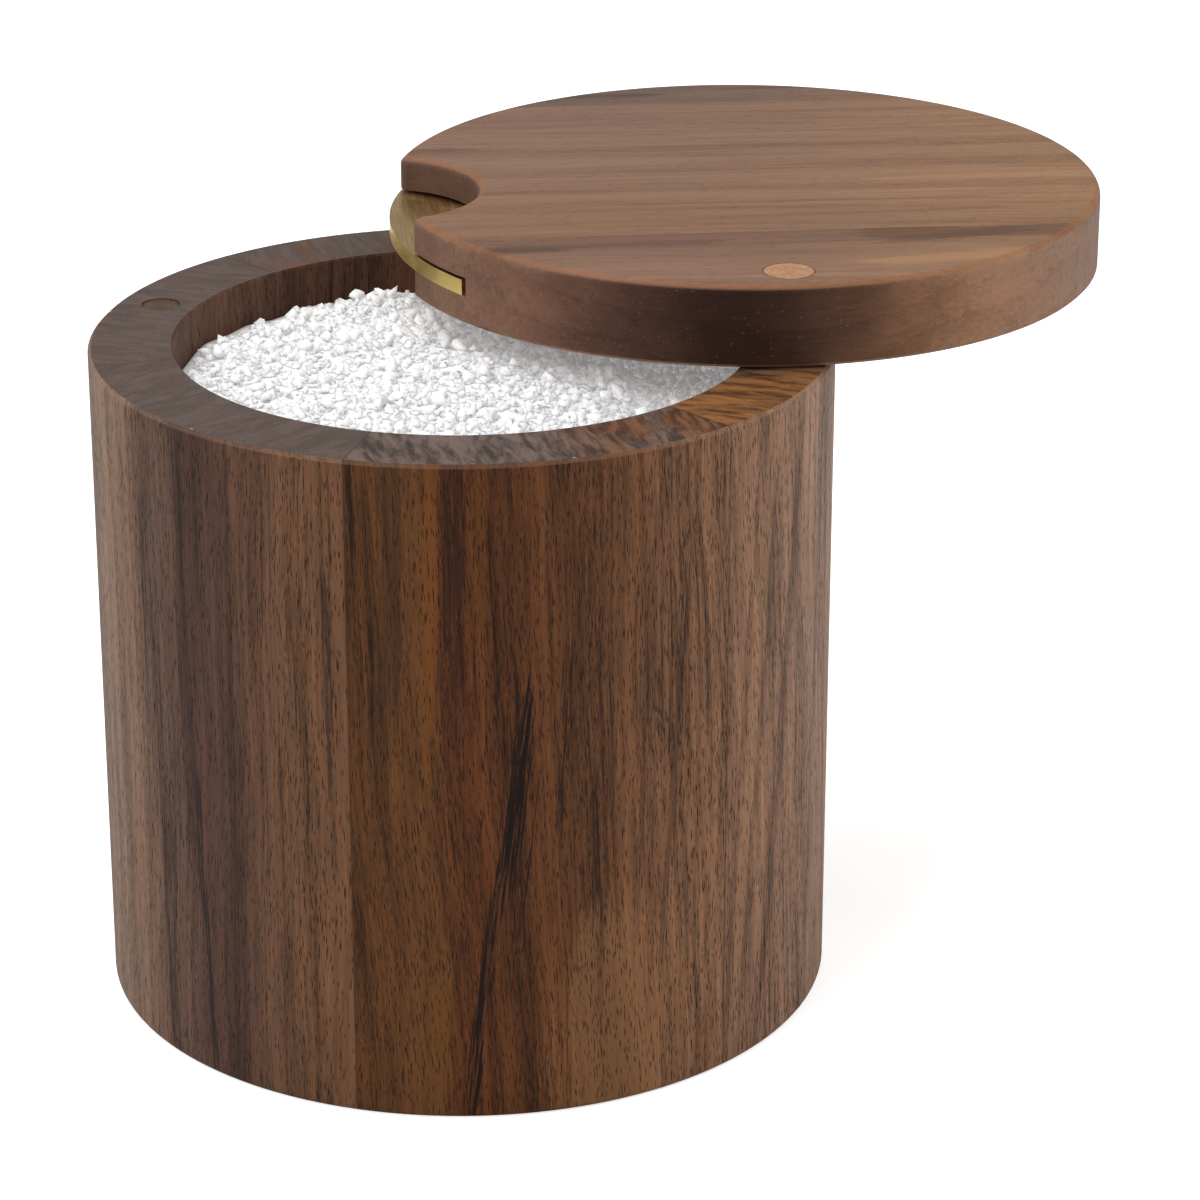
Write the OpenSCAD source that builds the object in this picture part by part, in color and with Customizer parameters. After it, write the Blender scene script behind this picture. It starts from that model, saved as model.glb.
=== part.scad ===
// Round wooden salt box. A lid of the same diameter swivels on one screw that stands in the wall.
// The origin is the centre of the underside, with Z up. The screw stands on +X and the thumb notch
// faces -Y when the lid is closed. All lengths are in millimetres.

/* [Box] */
// Outer diameter of the box and of its lid
body_d = 115; // [95:1:150]
// Height of the box up to its rim
body_h = 105; // [60:1:160]
// Thickness of the turned wall
wall = 13; // [11:0.5:18]
// Direction of the first glue seam between two staves, in degrees
seam_dir = -35.5; // [-60:0.5:0]
// Chamfer round the outside of the rim
rim_chamfer = 0.5; // [0.2:0.1:1.5]
// Chamfer round the mouth of the well
mouth_chamfer = 0.3; // [0.1:0.1:1.5]
// Rounding of the bottom edge
foot_round = 1; // [0.3:0.1:2]

/* [Base disc] */
// Thickness of the base disc
base_t = 8; // [5:0.5:14]
// Depth of the rebate that takes the base disc
rebate_d = 5; // [2:0.5:7]

/* [Lid] */
// Thickness of the lid
lid_t = 13; // [11:0.5:20]
// Gap between the rim and the lid, kept by the spacer washer
lid_gap = 0.4; // [0.3:0.1:1.2]
// Angle that the lid is swung open, clockwise from above
lid_open = 74; // [0:1:180]
// Rounding of the upper edges
lid_round = 1.5; // [0.5:0.1:1.8]
// Chamfer of the lower edge
lid_chamfer = 0.5; // [0.2:0.1:1.2]
// Distance from the lid's centre to the glue seam beside the screw
near_seam = 30; // [26:0.5:34]
// Distance from the lid's centre to the glue seam on the far side
far_seam = 45; // [30:0.5:47]

/* [Thumb notch] */
// Radius of the round bite in the lid
notch_r = 17.5; // [12:0.5:20]
// How far the bite reaches in from the edge
notch_depth = 14.3; // [9:0.1:16]
// Rounding of the two corners where the bite meets the edge
notch_corner = 2; // [1.8:0.1:3]

/* [Finger plate] */
// Thickness of the brass plate
plate_t = 2.5; // [1.5:0.1:3]
// Width of the plate, measured inwards from the edge of the lid
plate_w = 20; // [18:0.5:24]
// Half of the angle that the plate spans, in degrees
plate_half = 33; // [28:0.5:40]
// Height of the plate above the underside of the lid
plate_up = 4.5; // [4.2:0.1:6]
// Gap above the plate in its slot
slot_play = 0.5; // [0.2:0.1:0.8]
// Gap at each end of the plate, along the edge of the lid
slot_end = 1; // [0.3:0.1:2]

/* [Swivel screw] */
// Distance from the outside of the box to the screw
pivot_in = 7; // [5.5:0.25:7.5]
// Diameter of the screw's plain shank
shank_d = 4; // [3:0.1:5]
// Diameter of the screw's core inside the wall
core_d = 3; // [2:0.1:3.5]
// Length of the screw below the rim
screw_in = 24; // [12:1:32]
// Diameter of the screw's head
head_d = 7; // [6:0.1:7.4]
// Height of the screw's head
head_h = 2.6; // [2:0.1:3.2]
// Thickness of the washer under the head
washer_t = 0.6; // [0.4:0.1:1]
// Diameter of the spacer washer between rim and lid
spacer_d = 10; // [8:0.5:10.5]
// Diameter of the wooden plug over the screw
cap_d = 8; // [7.8:0.1:9.5]
// Thickness of the wooden plug over the screw
cap_t = 3.5; // [2:0.1:4.5]

/* [Magnet catch] */
// Direction of the magnets when the lid is closed, in degrees
magnet_dir = 172; // [150:1:200]
// Diameter of each magnet and of the plug over it
magnet_d = 6; // [4:0.5:8]
// Height of each magnet
magnet_h = 3; // [1:0.5:4]
// Thickness of the plug over each magnet
stud_t = 1.8; // [0.8:0.1:3]
// How far each plug lies below the wood round it
stud_sink = 0.2; // [0.1:0.1:0.5]

/* [Salt] */
// How far the salt lies below the rim, at the wall
salt_down = 7; // [6:0.5:40]
// How far the middle of the heap stands above its edge
salt_crown = 2; // [0.5:0.5:4]

/* [Fits] */
// Radial clearance between the shank and the bore in the lid
run_fit = 0.05; // [0.02:0.01:0.1]
// Radial clearance round plugs, magnets, washers, the base disc and the salt
glue_fit = 0.05; // [0.02:0.01:0.1]
// Radial clearance behind the plate in its slot
slot_fit = 0.4; // [0.2:0.1:1]

/* [Hidden] */
$fn = 96;
// Six staves make the ring, each in its own node
stave_count = 6;
stave_angle = 360 / stave_count;
body_r = body_d / 2;
well_r = body_r - wall;
pivot_r = body_r - pivot_in;
rebate_r = well_r + rebate_d;
// The lid lies this high, and its own solids are drawn from its underside up
lid_z = body_h + lid_gap;
// Inner corners of the slot and the plate
slot_in_r = body_r - plate_w - slot_fit;
slot_half = plate_half + slot_end / body_r * 180 / PI;
slot_h = plate_t + slot_play;
// The circle of the notch has its centre outside the lid
notch_centre = body_r - notch_depth + notch_r;
// Each rounded corner is a circle that touches the edge from inside and the notch from outside
corner_r = body_r - notch_corner;
corner_turn = acos(
  (corner_r ^ 2 + notch_centre ^ 2 - (notch_r + notch_corner) ^ 2) / (2 * corner_r * notch_centre)
);
corner_at = corner_r * [cos(corner_turn), sin(corner_turn)];
corner_reach = 3 * notch_corner;
// The round of a corner stands this far proud, so that it crosses the faces beside it at an angle
corner_proud = 0.03;
to_edge = corner_at / norm(corner_at);
to_notch = ([notch_centre, 0] - corner_at) / norm([notch_centre, 0] - corner_at);
// Heights inside the screw's counterbore, from the underside of the lid
cap_z = lid_t - cap_t;
head_play = 0.3;
head_z = cap_z - head_play - head_h;
washer_z = head_z - washer_t;
counterbore_r = cap_d / 2 + glue_fit;
bore_r = shank_d / 2 + run_fit;
head_washer_gap = 0.15;
recess_d = 2;
screw_tip = 5;
tip_d = 0.4;
// The cross recess: length as a share of the head, and width and depth of its slots
recess_share = 0.55;
recess_slot = 0.8;
magnet_hole_r = magnet_d / 2 + glue_fit;
magnet_hole_h = magnet_h + stud_t + stud_sink;
// The heap slopes up to a flat top of this share of its radius
salt_top = 0.45;
salt_r = well_r - glue_fit;
salt_edge_z = body_h - salt_down;
// Cutters run this far past the faces that they open
past = 1;
wood_brown = [0.36, 0.25, 0.17];
wood_dark = [0.27, 0.19, 0.14];
wood_pale = [0.68, 0.52, 0.38];
brass_tone = [0.72, 0.6, 0.33];
steel_tone = [0.7, 0.71, 0.72];
nylon_tone = [0.92, 0.91, 0.88];
salt_white = [0.95, 0.96, 0.97];
magnet_tone = [0.55, 0.56, 0.58];

// Profile of the wall, with its edges eased and the rebate for the base disc cut into its foot
module wall_profile() {
  difference() {
    translate([well_r, 0])
      square([wall, body_h]);
    translate([well_r - past, -past])
      square([rebate_d + past, base_t + past]);
    translate([body_r, body_h])
      rotate(45)
        square(rim_chamfer * sqrt(2), center = true);
    translate([well_r, body_h])
      rotate(45)
        square(mouth_chamfer * sqrt(2), center = true);
    translate([body_r - foot_round, 0])
      difference() {
        translate([0, -past])
          square([foot_round + past, foot_round + past]);
        translate([0, foot_round])
          circle(foot_round);
      }
  }
}

// Hole for a magnet and its plug, opening at the origin and going down
module magnet_hole() {
  translate([0, 0, -magnet_hole_h])
    cylinder(r = magnet_hole_r, h = magnet_hole_h + past);
}

// One stave of the ring. The screw and the magnet are let into whichever stave is under them.
module stave(turn) {
  color(turn % 2 == 0 ? wood_brown : wood_dark)
    difference() {
      rotate(seam_dir + turn * stave_angle)
        rotate_extrude(angle = stave_angle, $fn = 180)
          wall_profile();
      translate([pivot_r, 0, body_h - screw_in])
        cylinder(r = core_d / 2 + glue_fit, h = screw_in + past);
      rotate(magnet_dir)
        translate([pivot_r, 0, body_h])
          magnet_hole();
    }
}

// Disc that closes the bottom of the ring, flush with the foot of the staves
module base_disc() {
  color(wood_brown)
    cylinder(r = rebate_r - glue_fit, h = base_t, $fn = 180);
}

// Round-headed screw: plain shank through the lid, thinner core in the wall, cross recess on top
module swivel_screw() {
  color(steel_tone)
    translate([pivot_r, 0, 0]) {
      difference() {
        translate([0, 0, lid_z + head_z])
          intersection() {
            cylinder(d = head_d, h = head_h);
            translate([0, 0, head_h - head_d])
              sphere(r = head_d);
          }
        translate([0, 0, lid_z + head_z + head_h - recess_d / 2])
          for (turn = [0, 90])
            rotate(turn)
              cube([head_d * recess_share, recess_slot, recess_d], center = true);
      }
      translate([0, 0, body_h])
        cylinder(d = shank_d, h = lid_gap + head_z);
      translate([0, 0, body_h - screw_in + screw_tip])
        cylinder(d = core_d, h = screw_in - screw_tip);
      translate([0, 0, body_h - screw_in])
        cylinder(d1 = tip_d, d2 = core_d, h = screw_tip);
    }
}

// Flat washer round the screw
module washer(outer_r, thickness) {
  difference() {
    cylinder(r = outer_r, h = thickness);
    translate([0, 0, -past])
      cylinder(r = bore_r, h = thickness + 2 * past);
  }
}

module spacer_washer() {
  color(nylon_tone)
    translate([pivot_r, 0, body_h])
      washer(spacer_d / 2, lid_gap);
}

module head_washer() {
  color(steel_tone)
    translate([pivot_r, 0, lid_z + washer_z])
      washer(counterbore_r - head_washer_gap, washer_t);
}

module rim_magnet() {
  color(magnet_tone)
    rotate(magnet_dir)
      translate([pivot_r, 0, body_h - magnet_hole_h])
        cylinder(d = magnet_d, h = magnet_h);
}

module rim_magnet_plug() {
  color(wood_dark)
    rotate(magnet_dir)
      translate([pivot_r, 0, body_h - stud_sink - stud_t])
        cylinder(d = magnet_d, h = stud_t);
}

// The salt that fills the well: it lies on the base disc and is heaped up a little in the middle
module salt_fill() {
  color(salt_white) {
    translate([0, 0, base_t])
      cylinder(r = salt_r, h = salt_edge_z - base_t, $fn = 180);
    translate([0, 0, salt_edge_z])
      cylinder(r1 = salt_r, r2 = salt_r * salt_top, h = salt_crown, $fn = 180);
  }
}

// Carries what belongs to the lid from its closed place to its open one, about the screw
module on_lid() {
  translate([pivot_r, 0, lid_z])
    rotate(-lid_open)
      translate([-pivot_r, 0, 0])
        children();
}

// Half section of a disc as thick as the lid, rounded above, chamfered below and grown all round
module round_edge_profile(radius, grow) {
  difference() {
    translate([0, -grow])
      square([radius + grow, lid_t + 2 * grow]);
    translate([radius - lid_round, lid_t - lid_round])
      difference() {
        square(lid_round + past);
        circle(lid_round + grow);
      }
    translate([radius + grow, -grow])
      rotate(45)
        square(lid_chamfer * sqrt(2), center = true);
  }
}

// Bite of the thumb notch with its two rounded corners, its upper edge rounded and its lower edge
// chamfered as the lid's own
module notch_cut() {
  rotate(-90) {
    translate([notch_centre, 0, 0])
      rotate_extrude($fn = 120) {
        translate([0, -past])
          square([notch_r, lid_t + 2 * past]);
        translate([notch_r, lid_t - lid_round])
          difference() {
            square([lid_round, lid_round + past]);
            translate([lid_round, 0])
              circle(lid_round);
          }
        translate([notch_r, 0])
          rotate(45)
            square(lid_chamfer * sqrt(2), center = true);
      }
    corner_cut();
    mirror([0, 1, 0])
      corner_cut();
  }
}

// Rounds off one corner between the bite and the edge, by cutting away all but an upright post
module corner_cut() {
  difference() {
    translate([0, 0, -past])
      linear_extrude(lid_t + 2 * past)
        polygon([
          corner_at,
          corner_at + corner_reach * to_edge,
          corner_at + corner_reach * (to_edge + to_notch),
          corner_at + corner_reach * to_notch
        ]);
    translate([corner_at.x, corner_at.y, 0])
      rotate_extrude()
        round_edge_profile(notch_corner, corner_proud);
  }
}

// Ring sector between two radii, from -half to half round the front of the lid
module front_sector(r_in, r_out, half, height) {
  rotate(-90 - half)
    rotate_extrude(angle = 2 * half, $fn = 180)
      translate([r_in, 0])
        square([r_out - r_in, height]);
}

module plate_slot() {
  translate([0, 0, plate_up])
    front_sector(slot_in_r, body_r + past, slot_half, slot_h);
}

// One board of the lid, between two planes across the line from the centre to the screw
module lid_board(from_x, to_x) {
  difference() {
    intersection() {
      rotate_extrude($fn = 180)
        round_edge_profile(body_r, 0);
      translate([from_x, -body_r - past, -past])
        cube([to_x - from_x, 2 * (body_r + past), lid_t + 2 * past]);
    }
    notch_cut();
    plate_slot();
    translate([pivot_r, 0, -past])
      cylinder(r = bore_r, h = lid_t + 2 * past);
    translate([pivot_r, 0, washer_z])
      cylinder(r = counterbore_r, h = lid_t);
    rotate(magnet_dir)
      translate([pivot_r, 0, 0])
        mirror([0, 0, 1])
          magnet_hole();
  }
}

module lid_board_pivot() {
  color(wood_brown)
    on_lid()
      lid_board(near_seam, body_r + past);
}

module lid_board_middle() {
  color(wood_brown)
    on_lid()
      lid_board(-far_seam, near_seam);
}

module lid_board_far() {
  color(wood_dark)
    on_lid()
      lid_board(-body_r - past, -far_seam);
}

module finger_plate() {
  color(brass_tone)
    on_lid()
      translate([0, 0, plate_up])
        front_sector(body_r - plate_w, body_r, plate_half, plate_t);
}

module screw_plug() {
  color(wood_pale)
    on_lid()
      translate([pivot_r, 0, cap_z])
        cylinder(d = cap_d, h = cap_t);
}

module lid_magnet() {
  color(magnet_tone)
    on_lid()
      rotate(magnet_dir)
        translate([pivot_r, 0, stud_sink + stud_t])
          cylinder(d = magnet_d, h = magnet_h);
}

module lid_magnet_plug() {
  color(wood_dark)
    on_lid()
      rotate(magnet_dir)
        translate([pivot_r, 0, stud_sink])
          cylinder(d = magnet_d, h = stud_t);
}

stave(0);  // stave_pivot
stave(1);  // stave_back_right
stave(2);  // stave_back_left
stave(3);  // stave_magnet
stave(4);  // stave_front_left
stave(5);  // stave_front_right
base_disc();
swivel_screw();
spacer_washer();
rim_magnet();
rim_magnet_plug();
salt_fill();
lid_board_pivot();
lid_board_middle();
lid_board_far();
finger_plate();
head_washer();
screw_plug();
lid_magnet();
lid_magnet_plug();
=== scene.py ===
import bmesh
import bpy
import math
import numpy as np
from mathutils import Matrix, Vector


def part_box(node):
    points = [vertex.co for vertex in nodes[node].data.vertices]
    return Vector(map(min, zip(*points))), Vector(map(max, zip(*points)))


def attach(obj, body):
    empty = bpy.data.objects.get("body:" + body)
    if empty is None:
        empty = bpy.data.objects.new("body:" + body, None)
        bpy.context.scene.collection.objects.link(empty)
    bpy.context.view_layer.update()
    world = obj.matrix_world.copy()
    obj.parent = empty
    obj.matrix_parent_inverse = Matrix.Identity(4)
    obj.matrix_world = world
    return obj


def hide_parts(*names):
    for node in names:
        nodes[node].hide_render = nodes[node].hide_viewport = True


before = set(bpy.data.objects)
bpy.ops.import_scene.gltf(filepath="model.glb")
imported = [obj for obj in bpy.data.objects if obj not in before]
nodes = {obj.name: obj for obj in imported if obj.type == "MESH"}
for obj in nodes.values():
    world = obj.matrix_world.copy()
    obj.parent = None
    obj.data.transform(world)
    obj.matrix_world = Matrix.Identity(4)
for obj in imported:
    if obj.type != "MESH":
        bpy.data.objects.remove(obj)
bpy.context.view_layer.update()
print("frame loaded, pieces:", len(nodes))


# middle of a piece seen from above, in mm, to the nearest 0.1 because a round mesh isn't quite even
def nodeCentre(name):
    low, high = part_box(name)
    return tuple(round((low[i] + high[i]) * 500.0, 1) for i in range(2))


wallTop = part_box("stave_pivot")[1]
staveOuter = round(wallTop[0] * 1000.0, 1)  # mm, outside radius of the box
rimHeight = round(wallTop[2] * 1000.0, 1)  # mm
staveArc = round(staveOuter * math.radians(60), 1)  # mm, length of a stave round the outside
pivot = Vector((*nodeCentre("swivel_screw"), 0.0))  # mm, on the upright line that the lid turns about
lidOpen = math.radians(74)  # the lid's turn at rest, away from its closed place
streakMiddle = 52.0  # mm, the height about which a streak leans


# a colour on the 0 to 255 scale, turned into Blender's linear values
def paint(red, green, blue):
    parts = np.array([red, green, blue]) / 255.0
    lin = np.where(parts <= 0.04045, parts / 12.92, ((parts + 0.055) / 1.055) ** 2.4)
    return (*[float(v) for v in lin], 1.0)


def fillSocket(tree, socket, value):
    if isinstance(value, bpy.types.NodeSocket):
        tree.links.new(value, socket)
    else:
        socket.default_value = value


def put(tree, kind, inputs=None, **settings):
    made = tree.nodes.new("ShaderNode" + kind)
    for name, value in settings.items():
        setattr(made, name, value)
    for key, value in (inputs or {}).items():
        fillSocket(tree, made.inputs[key], value)
    return made


def maths(tree, operation, first, second=0.0):
    return put(tree, "Math", {0: first, 1: second}, operation=operation).outputs[0]


# a sum of values, each times its weight, on top of start
def weighed(tree, parts, start=0.0):
    total = start
    for value, weight in parts:
        total = maths(tree, "ADD", maths(tree, "MULTIPLY", value, weight), total)
    return total


# a place or a colour, each of its three values times its own factor
def times(tree, vector, factors):
    return put(tree, "VectorMath", {0: vector, 1: factors}, operation="MULTIPLY").outputs[0]


# a soft step: toLow under low, toHigh over high, smooth between
def rise(tree, value, low, high, toLow=0.0, toHigh=1.0):
    return put(tree, "MapRange", {"Value": value, "From Min": low, "From Max": high, "To Min": toLow,
                                  "To Max": toHigh}, interpolation_type="SMOOTHSTEP").outputs[0]


# a cloudy value, mostly between 0.3 and 0.7
def noise(tree, vector, scale, detail, roughness=0.5, distortion=0.0):
    return put(tree, "TexNoise", {"Vector": vector, "Scale": scale, "Detail": detail, "Roughness": roughness,
                                  "Distortion": distortion}).outputs["Fac"]


# the shaded point in mm in its piece's own space, with what a Mapping node turns and moves it by
def millimetres(tree, moves):
    spot = put(tree, "TexCoord").outputs["Object"]
    return put(tree, "Mapping", {"Vector": spot, "Scale": (1000.0,) * 3, **moves}).outputs[0]


# 1 on a face that looks up, 0 on an upright one, -1 on one that looks down
def lookingUp(tree):
    return put(tree, "SeparateXYZ", {0: put(tree, "TexCoord").outputs["Normal"]}).outputs[2]


# 1 for rays straight from the camera or passed on through glass, and 0 for all others
def seenByCamera(tree):
    path = put(tree, "LightPath").outputs
    return maths(tree, "MAXIMUM", path["Is Camera Ray"], path["Is Transmission Ray"])


def blendColour(tree, factor, below, above):
    made = put(tree, "Mix", data_type="RGBA", blend_type="MIX", clamp_factor=True)
    for key, value in ((0, factor), (6, below), (7, above)):
        fillSocket(tree, made.inputs[key], value)
    return made.outputs[2]


# lays a tint over a colour where a mask is high
def layOver(tree, colour, tint, mask, strength):
    return blendColour(tree, maths(tree, "MULTIPLY", mask, strength), colour, tint)


def colourRamp(tree, value, stops):
    made = put(tree, "ValToRGB", {0: value})
    band = made.color_ramp
    band.interpolation = "B_SPLINE"
    band.elements[0].position, band.elements[0].color = stops[0]
    band.elements[1].position, band.elements[1].color = stops[-1]
    for position, colour in stops[1:-1]:
        band.elements.new(position).color = colour
    return made.outputs[0]


def newGroup(name, takes, gives):
    tree = bpy.data.node_groups.new(name, "ShaderNodeTree")
    for label, kind, value in takes:
        socket = tree.interface.new_socket(label, in_out="INPUT", socket_type="NodeSocket" + kind)
        if value is not None:
            socket.default_value = value
    for label, kind in gives:
        tree.interface.new_socket(label, in_out="OUTPUT", socket_type="NodeSocket" + kind)
    return tree, tree.nodes.new("NodeGroupInput").outputs, tree.nodes.new("NodeGroupOutput").inputs


def useGroup(tree, group, inputs):
    made = tree.nodes.new("ShaderNodeGroup")
    made.node_tree = group
    for key, value in inputs.items():
        fillSocket(tree, made.inputs[key], value)
    return made.outputs


def newMaterial(name):
    material = bpy.data.materials.new(name)
    material.use_nodes = True
    tree = material.node_tree
    return material, tree, tree.nodes["Principled BSDF"]


grainLook = {
    # how much of its width each noise keeps along the grain: the smaller, the longer its streaks
    "drift": 0.35, "broad": 0.028, "hair": 0.11, "thread": 0.011,
    "heart": (95.0, 40.0, 0.0),  # mm, the middle of the growth rings, well outside the board
    "ringSharpness": 4.0,
    # long wide pores, and short fine ones: width of a cell in mm, share of the full length, size in the cell
    "poreSets": ((0.42, 1.0, 0.13), (0.28, 0.45, 0.18)),
    "poreFade": 0.17,  # soft border of a pore, in the same share of its cell
    "poresInDark": 1.6,  # how much more often a pore stands in a dark streak
}


# dark wood as a solid: noise stretched along the grain and pulled sideways by a slow noise, with growth rings
# as the distance from a far heart and pores as long thin cells
def buildGrain():
    tree, take, give = newGroup("woodGrain", [
        ("Point", "Vector", None), ("Wander", "Float", 2.0), ("Streak", "Float", 9.0), ("Ring", "Float", 3.0),
        ("Ring Strength", "Float", 0.3), ("Pore Amount", "Float", 0.6), ("Pore Length", "Float", 5.0)],
        [("Tone", "Float"), ("Pores", "Float"), ("Fibre", "Float")])
    slow = times(tree, take["Point"], (1.0, 1.0, grainLook["drift"]))
    drift = put(tree, "TexNoise", {"Vector": slow, "Scale": 0.035, "Detail": 2.0, "Roughness": 0.5})
    drift = put(tree, "VectorMath", {0: drift.outputs["Color"], 1: (0.5, 0.5, 0.5)}, operation="SUBTRACT")
    reach = maths(tree, "MULTIPLY", take["Wander"], 4.0)
    reach = put(tree, "CombineXYZ", {"X": reach, "Y": reach, "Z": 0.0}).outputs[0]
    drift = times(tree, drift.outputs[0], reach)
    bent = put(tree, "VectorMath", {0: take["Point"], 1: drift}, operation="ADD").outputs[0]
    long = times(tree, bent, (1.0, 1.0, grainLook["broad"]))
    broad = noise(tree, long, maths(tree, "DIVIDE", 1.0, take["Streak"]), 3.0, 0.6)
    fine = noise(tree, long, 1.25, 4.0, 0.7)
    hair = noise(tree, times(tree, bent, (1.0, 1.0, grainLook["hair"])), 4.2, 3.0, 0.7)
    thin = noise(tree, times(tree, bent, (1.0, 1.0, grainLook["thread"])), 1.9, 3.0, 0.75)
    threads = rise(tree, weighed(tree, [(thin, 1.0), (broad, -0.35)], 0.175), 0.54, 0.68)
    heart = put(tree, "VectorMath", {0: times(tree, bent, (1.0, 1.0, 0.0)), 1: grainLook["heart"]},
                operation="DISTANCE").outputs["Value"]
    ring = weighed(tree, [(broad, 2.2)], maths(tree, "DIVIDE", heart, take["Ring"]))
    ring = maths(tree, "POWER", maths(tree, "FRACT", ring), grainLook["ringSharpness"])
    ring = maths(tree, "MULTIPLY", ring, take["Ring Strength"])
    tone = weighed(tree, [(broad, 0.95), (fine, 1.05), (hair, 0.62), (ring, -0.35), (threads, -0.2)], -0.81)
    often = weighed(tree, [(broad, -grainLook["poresInDark"]), (take["Pore Amount"], 1.0)],
                    grainLook["poresInDark"] / 2)
    poreSets = []
    for across, share, width in grainLook["poreSets"]:
        shrink = put(tree, "CombineXYZ", {"X": 1.0 / across, "Y": 1.0 / across, "Z": maths(
            tree, "DIVIDE", 1.0, maths(tree, "MULTIPLY", take["Pore Length"], share))}).outputs[0]
        cells = put(tree, "TexVoronoi", {"Vector": times(tree, bent, shrink), "Scale": 1.0}, feature="F1")
        chosen = put(tree, "SeparateColor", {0: cells.outputs["Color"]}).outputs[0]
        chosen = maths(tree, "LESS_THAN", chosen, often)
        dash = rise(tree, cells.outputs["Distance"], width, width + grainLook["poreFade"], 1.0, 0.0)
        poreSets.append(maths(tree, "MULTIPLY", dash, chosen))
    tree.links.new(tone, give["Tone"])
    tree.links.new(maths(tree, "MAXIMUM", *poreSets), give["Pores"])
    tree.links.new(hair, give["Fibre"])
    return tree


# where a point lies on its stave: mm round the outside from the stave's middle line, mm in from the outside,
# and mm up
def buildStaveSides():
    tree, take, give = newGroup("staveSides", [("Point", "Vector", None)], [
        ("Around", "Float"), ("Depth", "Float"), ("Up", "Float")])
    parts = put(tree, "SeparateXYZ", {0: take["Point"]}).outputs
    around = maths(tree, "MULTIPLY", maths(tree, "ARCTAN2", parts[1], parts[0]), staveOuter)
    flat = times(tree, take["Point"], (1.0, 1.0, 0.0))
    reach = put(tree, "VectorMath", {0: flat}, operation="LENGTH").outputs["Value"]
    tree.links.new(around, give["Around"])
    tree.links.new(maths(tree, "SUBTRACT", staveOuter, reach), give["Depth"])
    tree.links.new(parts[2], give["Up"])
    return tree


# a streak at a chosen place: its middle line leans with the height, its edges are torn by stretched noise,
# and it fades out over one height and under another
def buildPlacedStreak():
    tree, take, give = newGroup("placedStreak", [
        ("Across", "Float", 0.0), ("Along", "Float", 0.0), ("Centre", "Float", 0.0), ("Lean", "Float", 0.0),
        ("Half Width", "Float", 2.0), ("Low", "Float", 0.0), ("High", "Float", 100.0),
        ("Fade", "Float", 15.0), ("Rag", "Float", 0.5)], [("Mask", "Float")])
    middle = maths(tree, "ADD", take["Centre"], maths(tree, "MULTIPLY", take["Lean"], maths(
        tree, "SUBTRACT", take["Along"], streakMiddle)))
    beside = maths(tree, "SUBTRACT", take["Across"], middle)
    place = put(tree, "CombineXYZ", {"X": beside, "Y": take["Centre"],
                                     "Z": maths(tree, "MULTIPLY", take["Along"], 0.03)}).outputs[0]
    torn = noise(tree, place, 2.6, 3.0, 0.75)
    torn = put(tree, "MapRange", {"Value": torn, "From Min": 0.3, "From Max": 0.7}).outputs[0]
    sway = maths(tree, "SUBTRACT", noise(tree, place, 0.3, 1.0), 0.5)
    sway = maths(tree, "MULTIPLY", sway, maths(tree, "MULTIPLY", take["Half Width"], 1.4))
    off = maths(tree, "ABSOLUTE", maths(tree, "ADD", beside, sway))
    body = maths(tree, "SUBTRACT", 1.0, maths(tree, "DIVIDE", off, take["Half Width"]))
    bottom = rise(tree, take["Along"], take["Low"], maths(tree, "ADD", take["Low"], take["Fade"]))
    top = rise(tree, take["Along"], maths(tree, "SUBTRACT", take["High"], take["Fade"]), take["High"],
               1.0, 0.0)
    body = maths(tree, "MULTIPLY", maths(tree, "MAXIMUM", body, 0.0), maths(tree, "MULTIPLY", bottom, top))
    cut = maths(tree, "MULTIPLY", maths(tree, "MULTIPLY", torn, take["Rag"]), 0.8)
    tree.links.new(rise(tree, body, cut, maths(tree, "ADD", cut, 0.38)), give["Mask"])
    return tree


# sparse pale specks: small cells, pulled out of round by a noise, with a few of them kept
def buildDust():
    tree, take, give = newGroup("dustSpecks", [
        ("Point", "Vector", None), ("Spacing", "Float", 7.0), ("Size", "Float", 0.05),
        ("Share", "Float", 0.3)], [("Mask", "Float")])
    near = put(tree, "TexNoise", {"Vector": take["Point"], "Scale": 0.5, "Detail": 2.0}).outputs["Color"]
    near = times(tree, near, (1.6, 1.6, 1.6))
    place = put(tree, "VectorMath", {0: take["Point"], 1: near}, operation="ADD").outputs[0]
    cells = put(tree, "TexVoronoi", {"Vector": place, "Scale": maths(tree, "DIVIDE", 1.0, take["Spacing"])})
    chosen = put(tree, "SeparateColor", {0: cells.outputs["Color"]}).outputs[1]
    chosen = maths(tree, "LESS_THAN", chosen, take["Share"])
    speck = rise(tree, cells.outputs["Distance"], maths(tree, "MULTIPLY", take["Size"], 0.5), take["Size"],
                 1.0, 0.0)
    tree.links.new(maths(tree, "MULTIPLY", speck, chosen), give["Mask"])
    return tree


grainGroup = buildGrain()
sidesGroup = buildStaveSides()
streakGroup = buildPlacedStreak()
dustGroup = buildDust()
print("shared wood effects ready")


woodFinish = {
    "roughness": 0.47,  # oiled, with a soft sheen
    "shine": 0.14,
    "poreColour": paint(32, 20, 15),
    "dustColour": paint(176, 170, 166),
    "glueColour": paint(60, 40, 30),  # the seam between two staves
    "rimGrey": paint(90, 76, 70),
    "chamferHighlightColour": paint(150, 120, 102),  # painted highlight on the eased outer edge of the rim
}

# what a stave has where its own entry says nothing else
plainStave = {
    "innerTint": paint(76, 48, 32), "contrast": (0.3, 1.62), "warmth": (1.0, 0.98, 0.95),
    "rimFrom": (-60.0, -50.0), "rimFigure": (0.82, 1.14),
    "waver": 0.14,  # how far its colours wander across it, as a share of its width
}

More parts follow.
